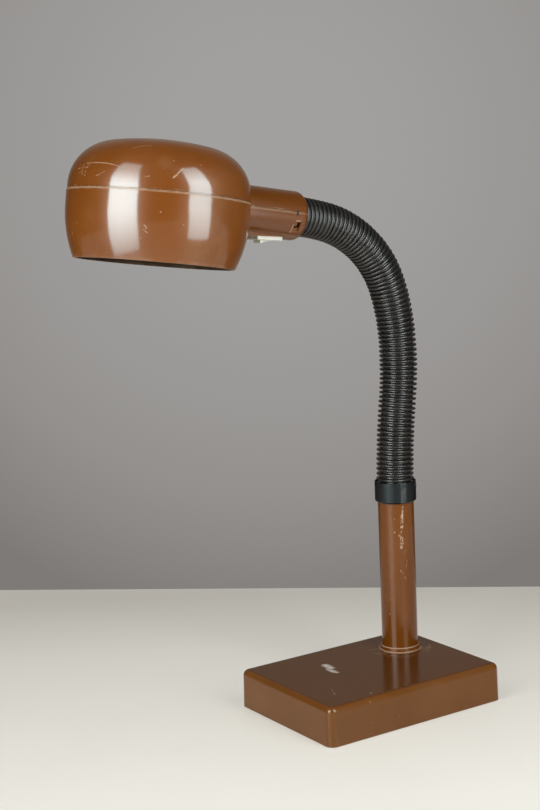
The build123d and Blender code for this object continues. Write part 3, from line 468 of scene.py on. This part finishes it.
# The foot ring: how far out and how high its marks reach, and the bands at its two rims.
RING_FROM = (RING_RADIUS - 0.0016, RING_RADIUS - 0.0010)
RING_UP_TO = (BASE_TOP + 0.010, BASE_TOP + 0.006)
LOWER_RIM = (BASE_TOP, BASE_TOP + 0.0007, 0.0003)
UPPER_RIM = (RING_TOP - 0.0009, RING_TOP, 0.0003)
COLLAR_SIDE = (0.838, -0.546, 0)  # the photo's right, along the table
COLLAR_HIGHLIGHT_BAND = (0.0040, 0.0078, 0.0012)  # m that way from the stem's axis, where the highlight is painted


def from_stem(g):
    """Distance from the stem's axis, and height."""
    split = g.add("SeparateXYZ", {0: g.vector("SUBTRACT", g.place, (STEM_X, STEM_Y, 0))}).outputs
    flat = g.add("CombineXYZ", {0: split[0], 1: split[1]}).outputs[0]
    return g.vector("LENGTH", flat, value=True), split[2]


def base_marks(g, base, marks):
    """A top painted darker as shade, scuffs round the stem's foot, a torn patch, scratches and chips."""
    # Painted shade: faces that look upwards are painted a darker brown.
    upward = g.add("SeparateXYZ", {0: g.add("NewGeometry").outputs["Normal"]}).outputs[2]
    top = g.step(upward, 0.9, 0.995)
    base = g.mix(top, base, BASE_TOP_PAINTED_SHADE)
    far, _ = from_stem(g)
    crumbs = g.step(g.noise(420, 3, 0.65), 0.4, 0.58)
    ring = g.both(g.band(far, *FOOT_SCUFF), g.step(g.noise(70, 3), 0.3, 0.5, 0.3, 0.8))
    halo = g.both(g.step(far, *FOOT_HALO), g.both(g.step(g.noise(130, 5, 0.7), 0.5, 0.68), 0.45))
    inputs = {"Vector": g.place, "Scale": 400.0, "Detail": 3.0, "Roughness": 0.7}
    wobble = g.vector("SUBTRACT", g.add("TexNoise", inputs).outputs["Color"], NOISE_MIDDLE)
    pushed = g.vector("ADD", g.place, g.vector("SCALE", wobble, scale=TORN_RAGGED))
    flat = g.vector("ADD", g.vector("MULTIPLY", pushed, (1, 1, 0)), (0, 0, BASE_TOP))
    torn = g.either(g.stroke(flat, *TORN_UPPER), g.stroke(flat, *TORN_LOWER))
    torn = g.both(torn, g.step(g.noise(330, 4, 0.8), 0.38, 0.5, 0.25, 1.0))
    torn = g.both(torn, top)
    base = g.mix(torn, base, TORN_PAPER)
    marks = g.both(marks, g.math("SUBTRACT", 1.0, torn))
    found = scratched(g, BASE_SCRATCHES, BASE_CHIPS, crumbs)
    return base, g.either(marks, g.both(ring, top), g.both(halo, top), *found)


def stem_marks(g, base, marks):
    """A line of scuffs up the front, chips, and the rubbed rims of the foot ring."""
    far, height = from_stem(g)
    crumbs = g.step(g.noise(560, 3, 0.75), 0.44, 0.58)
    ring = g.both(g.step(far, *RING_FROM), g.step(height, *RING_UP_TO))
    rims = g.either(g.band(height, *LOWER_RIM), g.band(height, *UPPER_RIM))
    rims = g.both(g.both(ring, rims), g.step(g.noise(90, 3), 0.3, 0.55, 0.2, 0.65))
    return base, g.either(marks, rims, *scratched(g, STEM_SCRATCHES, STEM_CHIPS, crumbs))


def collar_marks(g, base, marks):
    """A painted highlight: a paler streak up the collar's front, right of the middle."""
    moved = g.vector("SUBTRACT", g.place, (STEM_X, STEM_Y, 0))
    side = g.vector("DOT_PRODUCT", moved, COLLAR_SIDE, value=True)
    # Painted highlight: a paler band up the collar's right side.
    streak = g.both(g.band(side, *COLLAR_HIGHLIGHT_BAND), g.step(g.noise(160, 3), 0.3, 0.6, 0.35, 1.0))
    return g.mix(g.both(streak, 0.7), base, COLLAR_PAINTED_HIGHLIGHT), marks


def bulb_glass():
    """Glass, frosted on its inside."""
    g = Graph("bulb_glass")
    g.set(Base_Color=(0.86, 0.86, 0.83, 1), Roughness=0.25, Transmission_Weight=0.35)
    return g


def sleeve_vinyl():
    """Satin black vinyl: the grooves are paler, with dust and with painted light against their shade, and the
    crests are rubbed smooth.
    """
    g = Graph("sleeve_vinyl")
    crest = g.add("Attribute", attribute_name="crest").outputs["Fac"]
    cloud = g.step(g.noise(22, 4, 0.6), 0.35, 0.7)
    tint = g.mix(cloud, (0.019, 0.0195, 0.0185), (0.026, 0.026, 0.024))
    rubbed = g.both(g.step(crest, 0.6, 0.97), g.step(g.noise(60, 3, 0.6), 0.3, 0.6, 0.4, 1.0))
    tint = g.mix(g.both(rubbed, 0.3), tint, (0.07, 0.069, 0.065))
    # The grooves are painted paler: dust, and painted light against the shade in them.
    dust = g.both(g.step(crest, 0.5, 0.1), g.step(g.noise(60, 4, 0.65), 0.4, 0.75))
    g.set(Base_Color=g.mix(g.both(dust, 0.5), tint, (0.06, 0.057, 0.05)))
    g.set(Roughness=g.math("ADD", 0.2, g.both(g.noise(60, 3), 0.12)), Specular_Tint=(*VINYL_WARM, 1))
    g.set(Normal=g.bump(g.noise(30, 2), 0.0003, 0.03))
    return g


finish = {
    "head_plastic": moulded("head_plastic", BROWN, PALE, 0.32, extra=head_marks),
    "base_plastic": moulded(
        "base_plastic", BASE_BROWN, PALE, 0.16,
        coat=0, level=0.42, tint=WARM, wear=0.6, dust=0.2, extra=base_marks,
    ),
    "stem_paint": moulded(
        "stem_paint", STEM_BROWN, STEM_PALE, 0.17,
        coat=0, level=0.5, tint=WARM, wear=0.8, extra=stem_marks,
    ),
    "collar_plastic": moulded(
        "collar_plastic", (0.0035, 0.0035, 0.004), (0.05, 0.05, 0.05), 0.42,
        coat=0, level=0.3, dust=0.05, extra=collar_marks,
    ),
    "core_steel": metal("core_steel", (0.56, 0.56, 0.55), (0.34, 0.33, 0.31)),
    "fastener_steel": metal(
        "fastener_steel", (0.6, 0.6, 0.58), (0.36, 0.34, 0.3), 0.3, rust=(0.16, 0.07, 0.03),
    ),
    "cast_weight": metal(
        "cast_weight", (0.1, 0.095, 0.09), (0.05, 0.045, 0.04), 0.6, rust=(0.14, 0.055, 0.02),
    ),
    "cover_board": moulded("cover_board", (0.035, 0.026, 0.02), (0.12, 0.09, 0.07), 0.75, coat=0),
    "felt": moulded("felt", (0.028, 0.022, 0.018), (0.1, 0.09, 0.08), 0.95, coat=0),
    "grommet_rubber": moulded("grommet_rubber", (0.012, 0.012, 0.012), (0.08, 0.08, 0.08), 0.5, coat=0),
    "phenolic": moulded("phenolic", (0.014, 0.009, 0.007), (0.1, 0.07, 0.05), 0.28, coat=0, level=0.5),
    "contact_brass": metal("contact_brass", (0.62, 0.42, 0.16), (0.3, 0.17, 0.07), 0.3),
    "shield_aluminium": metal("shield_aluminium", (0.82, 0.82, 0.82), (0.62, 0.6, 0.56), 0.22),
    "cap_aluminium": metal("cap_aluminium", (0.7, 0.7, 0.7), (0.5, 0.49, 0.47), 0.3),
    "switch_white": moulded(
        "switch_white", (0.9, 0.88, 0.76), (0.45, 0.36, 0.24), 0.3, coat=0, level=0.5, wear=0.3, dust=0.1,
    ),
    "bulb_glass": bulb_glass(),
    "sleeve_vinyl": sleeve_vinyl(),
}
# The collar's screw is blackened.
blackened = metal("blackened_screw", (0.07, 0.07, 0.065), (0.035, 0.035, 0.03), 0.4)


def paint(piece, slot):
    """Gives a piece the finish of its slot as its one material."""
    piece.data.materials.clear()
    piece.data.materials.append(finish[slot].material)


# ---------------------------------------------------------------- the ribbed sleeve

# The arm's axis: where it starts, in m, and its arcs, in mm and degrees. Other lengths here are in mm.
ARM_START = (0.0549, 0.0255, 0.184)
ARC_LENGTHS = (82.0, 58.0, 46.0, 42.0, 54.0, 29.0)
ARC_ANGLES = (-7.5, 11.5, 14.0, 26.0, 30.2, 6.8)
ARM_INSERT = 6.0  # the straight end inside the neck
END_GAP = 0.3
RIB_COUNT = 73
FIRST_RIBS = 7
RIBS_PER_LINK = 6
JOINT_COUNT = 11
RIB_RADIUS = 17.25
GROOVE_RADIUS = 13.9
SLEEVE_BORE = 12.2
OPEN_TO = 130.0  # the ribs stand apart up to here along the arm
CLOSED_FROM = 220.0  # and lie close together from here
CLOSING = 0.16
FILL = 0.4  # there the grooves are that much shallower
# These pieces name their two bodies from the head's side, which bends the same.
BLENDED_BACKWARDS = (2, 8)
RIB_PITCH = (sum(ARC_LENGTHS) + ARM_INSERT - 2 * END_GAP) / RIB_COUNT
SEGMENTS = 72
RIB_SEED, RIB_TILT, RIB_WEAR = 5, 0.008, 0.25  # the ribs differ a little: tilt in radians, height in mm


def arm_frame(place):
    """The point of the arm's axis that far along it, in mm, the axis's direction, and the way outwards."""
    x = z = lean = 0.0
    for length, angle in zip(ARC_LENGTHS + (1e9,), ARC_ANGLES + (0.0,)):
        part = min(max(place, 0.0), length)
        swing = math.radians(angle) * part / length
        chord = part if abs(swing) < 1e-9 else 2 * part / swing * math.sin(swing / 2)
        x -= chord * math.sin(lean + swing / 2)
        z += chord * math.cos(lean + swing / 2)
        lean += swing
        place -= part
        if place <= 0:
            break
    point = Vector((x, 0, z)) * MM + Vector(ARM_START)
    return point, Vector((-math.sin(lean), 0, math.cos(lean))), Vector((math.cos(lean), 0, math.sin(lean)))


def joint_station(index):
    """Where along the arm a joint lies."""
    return END_GAP + RIB_PITCH * (FIRST_RIBS + RIBS_PER_LINK * index)


def link_middle(index):
    """Where along the arm a piece begins: in the middle of a link, or at the arm's start or end."""
    if index == 0:
        return END_GAP
    if index == JOINT_COUNT:
        return END_GAP + RIB_PITCH * RIB_COUNT
    return (joint_station(index - 1) + joint_station(index)) / 2


# One rib's rings: offset from the crest along the arm, and share of the rib's height.
RIB_PROFILE = (
    (-1.78, 0.0), (-1.36, 0.06), (-1.2, 0.3), (-1.1, 0.62), (-0.84, 0.85), (-0.46, 0.96),
    (0.0, 1.0), (0.46, 0.96), (0.84, 0.85), (1.1, 0.62), (1.2, 0.3), (1.36, 0.06), (1.78, 0.0),
)


def closed(station):
    """From 0 where the ribs stand apart to 1 where they lie close together."""
    return min(max((station - OPEN_TO) / (CLOSED_FROM - OPEN_TO), 0.0), 1.0)


def sleeve_rings(first, last):
    """Rings of the outer face between two grooves: station of the frame, offset, share of the rib, rib."""
    rings = [(first, 0.0, FILL * closed(first), -1)]
    for rib in range(RIB_COUNT):
        crest = END_GAP + RIB_PITCH * (rib + 0.5)
        if first < crest < last:
            spread = 1 + CLOSING * closed(crest)
            for offset, share in RIB_PROFILE:
                filled = FILL * closed(crest + offset)
                rings.append((crest, offset * spread, filled + (1 - filled) * share, rib))
    return rings + [(last, 0.0, FILL * closed(last), -1)]


def tube_faces(rings, segments, looped=False):
    """Faces from each ring of points to the next, and from the last to the first if looped."""
    faces = []
    for ring in range(rings if looped else rings - 1):
        near, far = ring * segments, (ring + 1) % rings * segments
        for k in range(segments):
            m = (k + 1) % segments
            faces.append((near + k, near + m, far + m, far + k))
    return faces


def sleeve_piece(index, tilts):
    """A closed length of the sleeve from the middle of one link to the middle of the next."""
    first, last = link_middle(index), link_middle(index + 1)
    points, crests = [], []
    outer = sleeve_rings(first, last)
    bore = [(station, 0.0, None, -1) for station in (last, (first + last) / 2, first)]
    for station, offset, share, rib in outer + bore:
        point, along, out = arm_frame(station)
        lean_out, lean_side, grow = tilts[rib] if rib >= 0 else (0.0, 0.0, 0.0)
        radius = SLEEVE_BORE if share is None else GROOVE_RADIUS + (RIB_RADIUS - GROOVE_RADIUS + grow) * share
        share = share or 0.0
        for k in range(SEGMENTS):
            a = 2 * math.pi * k / SEGMENTS
            shift = offset + radius * share * (lean_out * math.cos(a) + lean_side * math.sin(a))
            across = out * math.cos(a) + Vector((0, 1, 0)) * math.sin(a)
            points.append(point + (across * radius + along * shift) * MM)
            crests.append(share)
    count = len(outer) + len(bore)
    piece = add_mesh(f"ribbed_sleeve_{index + 1:02d}", points, tube_faces(count, SEGMENTS, looped=True))
    corners = (len(outer) - 1, len(outer), count - 1, 0)
    for edge in piece.data.edges:
        a, b = (vertex // SEGMENTS for vertex in edge.vertices)
        edge.use_edge_sharp = a == b and a in corners
    mask = piece.data.attributes.new("crest", "FLOAT", "POINT")
    mask.data.foreach_set("value", crests)
    return piece


def add_mesh(name, points, faces, smooth=True):
    mesh = bpy.data.meshes.new(name)
    mesh.from_pydata([tuple(p) for p in points], [], faces)
    mesh.validate()
    mesh.update()
    if smooth:
        mesh.shade_smooth()
    piece = bpy.data.objects.new(name, mesh)
    bpy.context.scene.collection.objects.link(piece)
    return piece


def add_sleeve():
    """One piece across each joint, in place of the links."""
    draw = random.Random(RIB_SEED)
    tilts = []
    for _ in range(RIB_COUNT):
        tilts.append((draw.gauss(0, RIB_TILT), draw.gauss(0, RIB_TILT), draw.uniform(-RIB_WEAR, 0.0)))
    arm_bodies = ["base"] + [f"arm_{k:02d}" for k in range(2, JOINT_COUNT + 1)] + ["head"]
    for index in range(JOINT_COUNT):
        piece = sleeve_piece(index, tilts)
        paint(piece, "sleeve_vinyl")
        stands_for = [f"sleeve_link_{index + 1:02d}"]
        if index == JOINT_COUNT - 1:
            stands_for.append(f"sleeve_link_{index + 2:02d}")
        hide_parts(*stands_for)
        turn = joint_station(index)
        reach = RIB_PITCH * RIBS_PER_LINK / 2
        ends = [
            (arm_bodies[index], arm_frame(turn - reach)[0]),
            (arm_bodies[index + 1], arm_frame(turn + reach)[0]),
        ]
        if index in BLENDED_BACKWARDS:
            ends.reverse()
        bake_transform(piece)


# ---------------------------------------------------------------- the bulb's screw cap

# All in mm.
THREAD_PITCH = 3.629
THREAD_ROOT, THREAD_CREST = 12.15, 13.0
THREAD_RUN_IN = 1.2  # over which the thread grows from the plain band
THREAD_STEP = 0.25
CAP_BAND, CAP_BAND_RADIUS = 2.2, 12.6  # the plain band at the cap's rim
CAP_SHOULDER, CAP_END, CAP_TIP_RADIUS = 20.0, 23.0, 4.0
SHOULDER_RISE, SHOULDER_RADIUS, CAP_END_RADIUS = 0.8, 11.6, 5.0  # the black insulator
TIP_BEVEL, TIP_FLAT_RADIUS = 0.3, 3.2
CAP_DROP = -2.3  # the bulb's axis lies under the head's own X axis
CAP_CENTRE = 0.02  # radius of the rings that close its two ends
CAP_SEGMENTS = 64


def thread_radius(station, turn):
    """Radius of the rolled part of the cap, that far from its rim and at that turn about its axis."""
    share = min((station - CAP_BAND) / THREAD_RUN_IN, (CAP_SHOULDER - station) / THREAD_RUN_IN, 1.0)
    wave = 0.5 + 0.5 * math.cos(2 * math.pi * station / THREAD_PITCH - turn)
    thread = THREAD_ROOT + (THREAD_CREST - THREAD_ROOT) * wave
    return CAP_BAND_RADIUS + (thread - CAP_BAND_RADIUS) * max(share, 0.0)


def add_bulb_cap():
    """The cap with its rolled thread, a black insulator and the contact at its tip."""
    stations = [p.dot(HEAD_X) for p in (v.co - HEAD_PLACE for v in nodes["bulb_cap"].data.vertices)]
    rim, length = min(stations) / MM, (max(stations) - min(stations)) / MM
    # Rings from the rim to the tip: station and radius, which is None on the thread.
    rings = [(0.0, CAP_CENTRE)]
    rings += [(THREAD_STEP * k, None) for k in range(int(CAP_SHOULDER / THREAD_STEP) + 1)]
    rings += [(CAP_SHOULDER + SHOULDER_RISE, SHOULDER_RADIUS), (CAP_END, CAP_END_RADIUS)]
    rings += [(CAP_END, CAP_TIP_RADIUS), (length - TIP_BEVEL, CAP_TIP_RADIUS)]
    rings += [(length, TIP_FLAT_RADIUS), (length, CAP_CENTRE)]
    points = []
    for station, ring_radius in rings:
        for k in range(CAP_SEGMENTS):
            a = 2 * math.pi * k / CAP_SEGMENTS
            radius = thread_radius(station, a) if ring_radius is None else ring_radius
            spot = HEAD_X * (rim + station) + HEAD_Y * (radius * math.cos(a))
            points.append(HEAD_PLACE + (spot + HEAD_Z * (CAP_DROP + radius * math.sin(a))) * MM)
    faces = tube_faces(len(rings), CAP_SEGMENTS)
    black = [CAP_SHOULDER <= station < CAP_END for station, _ in rings[:-1] for _ in range(CAP_SEGMENTS)]
    last = (len(rings) - 1) * CAP_SEGMENTS
    faces += [tuple(reversed(range(CAP_SEGMENTS))), tuple(range(last, last + CAP_SEGMENTS))]
    piece = add_mesh("screw_cap", points, faces)
    paint(piece, "cap_aluminium")
    piece.data.materials.append(finish["phenolic"].material)
    for face, dark in zip(piece.data.polygons, black + [False, False]):
        face.material_index = int(dark)
    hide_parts("bulb_cap")
    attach(piece, "bulb")


# ---------------------------------------------------------------- table and light

# The two tall softboxes: middle of the foot, way to it in degrees from +Y to +X, width, lowest and highest
# edge, radiance, power.
SOFTBOXES = {
    "left": (Vector((-0.936, -0.226, 0)), 253.5, 0.53, 0.02, 1.65, 17.6, 7.8),
    "right": (Vector((0.060, -0.614, 0)), 156.0, 0.34, 0.17, 1.16, 14.3, 3.6),
}
# How bright a softbox is at a height: height in m, share.
GLOW = ((0.03, 0.28), (0.25, 0.56), (0.5, 0.9), (0.65, 1.0), (0.9, 0.58), (1.13, 0.36), (1.6, 0.22))
GLOW_SPAN = 2.0  # m, the height that the colour ramp spans
GLOW_TINT = (0.73, 0.95, 1.0)

# The table. Its far edge and its tones are given at places of the picture, in pixels.
FAR_EDGE = (-20, 590.2), (560, 586.4)
TONES_FROM, TONES_TO = (270, 595), (270, 800)
TABLE_TONES = ((0.0, (0.44, 0.425, 0.385)), (1.0, (0.67, 0.66, 0.605)), (0.35, (0.565, 0.552, 0.505)))
TABLE_STAIN = (0.5, 0.48, 0.42)
TABLE_MARGIN, TABLE_DEPTH = 2.5, 5  # m, past the picture's sides and towards the camera
TABLE_GLOW = 0.62

# The wall and room. The wall is brightest that many pixels above the picture's middle, and its tones go by
# the cosine of the angle from there.
WALL_BRIGHT_UP = 255
WALL_FROM_TO = (0.955, 1.0)
WALL_TONES = (
    (0.0, (0.205, 0.193, 0.184)), (1.0, (0.362, 0.354, 0.348)),
    (0.45, (0.288, 0.273, 0.264)), (0.75, (0.328, 0.317, 0.309)),
)
ROOM_DARK = (0.02, 0.02, 0.02)
ROOM_WALL = (0.25, 0.21, 0.175)
ROOM_FILL = 0.15  # for diffuse rays only
# Where gloss sees the pale wall: the cosine to the way ahead, to the side and upwards, outside and inside.
AHEAD_FROM_TO, ASIDE_FROM_TO, UPWARD_FROM_TO = (0.0, 0.3), (0.62, 0.2), (0.95, 0.6)


def add_softbox(name, foot, azimuth, width, low, high, radiance, power):
    """A soft lamp, and a panel of the same shape that only gloss reflects."""
    out = Vector((math.sin(math.radians(azimuth)), math.cos(math.radians(azimuth)), 0))
    side = Vector((out.y, -out.x, 0)) * (width / 2)
    light = bpy.data.lights.new("lamp_" + name, "AREA")
    light.shape, light.size, light.size_y = "RECTANGLE", width, high - low
    light.energy = power
    lamp = bpy.data.objects.new("lamp_" + name, light)
    lamp.location = foot + Vector((0, 0, (low + high) / 2))
    lamp.rotation_mode = "QUATERNION"
    lamp.rotation_quaternion = (-out).to_track_quat("-Z", "Y")
    lamp.visible_camera = lamp.visible_glossy = False
    bpy.context.scene.collection.objects.link(lamp)

    low, high = Vector((0, 0, low)), Vector((0, 0, high))
    corners = [foot - side + low, foot + side + low, foot + side + high, foot - side + high]
    panel = add_mesh("panel_" + name, corners, [(0, 1, 2, 3)], smooth=False)
    g = Graph("panel_" + name)
    height = g.add("SeparateXYZ", {0: g.place}).outputs[2]
    stops = [(level / GLOW_SPAN, tuple(share * tint for tint in GLOW_TINT)) for level, share in GLOW]
    glow = g.ramp(g.math("DIVIDE", height, GLOW_SPAN), stops)
    g.set(Base_Color=(0, 0, 0, 1), Specular_IOR_Level=0.0, Emission_Color=glow, Emission_Strength=radiance)
    panel.data.materials.append(g.material)
    panel.visible_camera = panel.visible_diffuse = False
    panel.visible_shadow = panel.visible_transmission = False


def add_table():
    """A plain pale table, whose far edge shows behind the lamp."""
    left, right = (table_point(*place) for place in FAR_EDGE)
    along = (right - left).normalized()
    back = Vector((-along.y, along.x, 0))
    left, right = left - along * TABLE_MARGIN, right + along * TABLE_MARGIN
    corners = [left, right, right - back * TABLE_DEPTH, left - back * TABLE_DEPTH]
    table = add_mesh("table", corners, [(0, 1, 2, 3)], smooth=False)
    g = Graph("table")
    near, far = table_point(*TONES_TO), table_point(*TONES_FROM)
    scale = (near - far) / (near - far).length_squared
    depth = g.vector("DOT_PRODUCT", g.vector("SUBTRACT", g.place, far), scale, value=True)
    tones = g.ramp(depth, TABLE_TONES)
    stain = g.step(g.noise(7, 4, 0.6), 0.35, 0.7)
    colour = g.mix(g.both(stain, 0.07), tones, TABLE_STAIN)
    g.set(Base_Color=colour, Roughness=0.45)
    # The camera, gloss and glass see a paler table, and it still takes the lamp's shadow.
    path = g.add("LightPath").outputs
    shown = g.either(path["Is Camera Ray"], path["Is Glossy Ray"], path["Is Transmission Ray"])
    g.set(Emission_Color=colour, Emission_Strength=g.both(shown, TABLE_GLOW))
    table.data.materials.append(g.material)


def add_world():
    """A grey wall behind, brightest beside the lamp's head, and a dim room in front."""
    world = bpy.data.worlds.new("wall")
    bpy.context.scene.world = world
    world.use_nodes = True
    w = Tree(world.node_tree)
    _, up, forward = camera_axes()
    bright = (forward * FOCAL_PIXELS + up * WALL_BRIGHT_UP).normalized()
    ahead = Vector((forward.x, forward.y, 0)).normalized()
    direction = w.add("TexCoord").outputs["Generated"]

    def toward(axis):
        return w.vector("DOT_PRODUCT", direction, axis, value=True)

    def fade(value, low, high):
        return w.add("MapRange", {"Value": value, "From Min": low, "From Max": high}).outputs[0]

    wall = w.ramp(fade(toward(bright), *WALL_FROM_TO), WALL_TONES)
    # Gloss sees a pale wall ahead, which fades to its sides and upwards, and a dark room elsewhere.
    in_front = fade(toward(ahead), *AHEAD_FROM_TO)
    in_middle = fade(w.math("ABSOLUTE", toward(Vector((ahead.y, -ahead.x, 0)))), *ASIDE_FROM_TO)
    level = fade(w.math("ABSOLUTE", toward(Vector((0, 0, 1)))), *UPWARD_FROM_TO)
    room = w.mix(w.both(w.both(in_front, in_middle), level), ROOM_DARK, ROOM_WALL)
    path = w.add("LightPath").outputs
    seen = w.mix(path["Is Camera Ray"], room, wall)
    fill = w.both(path["Is Diffuse Ray"], ROOM_FILL)
    colour = w.add("Mix", {0: 1.0, 6: seen, 7: fill}, data_type="RGBA", blend_type="ADD")
    sky = w.add("Background", {"Color": colour.outputs[2]})
    w.add("OutputWorld", {"Surface": sky.outputs[0]})


# ---------------------------------------------------------------- scene

add_camera()
bpy.context.scene.view_settings.view_transform = "Standard"
for row in frame["record"]["subparts"]:
    if row["node"] in nodes:
        paint(nodes[row["node"]], row["material_slot"])
nodes["collar_screw"].data.materials[0] = blackened.material
add_sleeve()
add_bulb_cap()
add_table()
add_world()
for name, box in SOFTBOXES.items():
    add_softbox(name, *box)
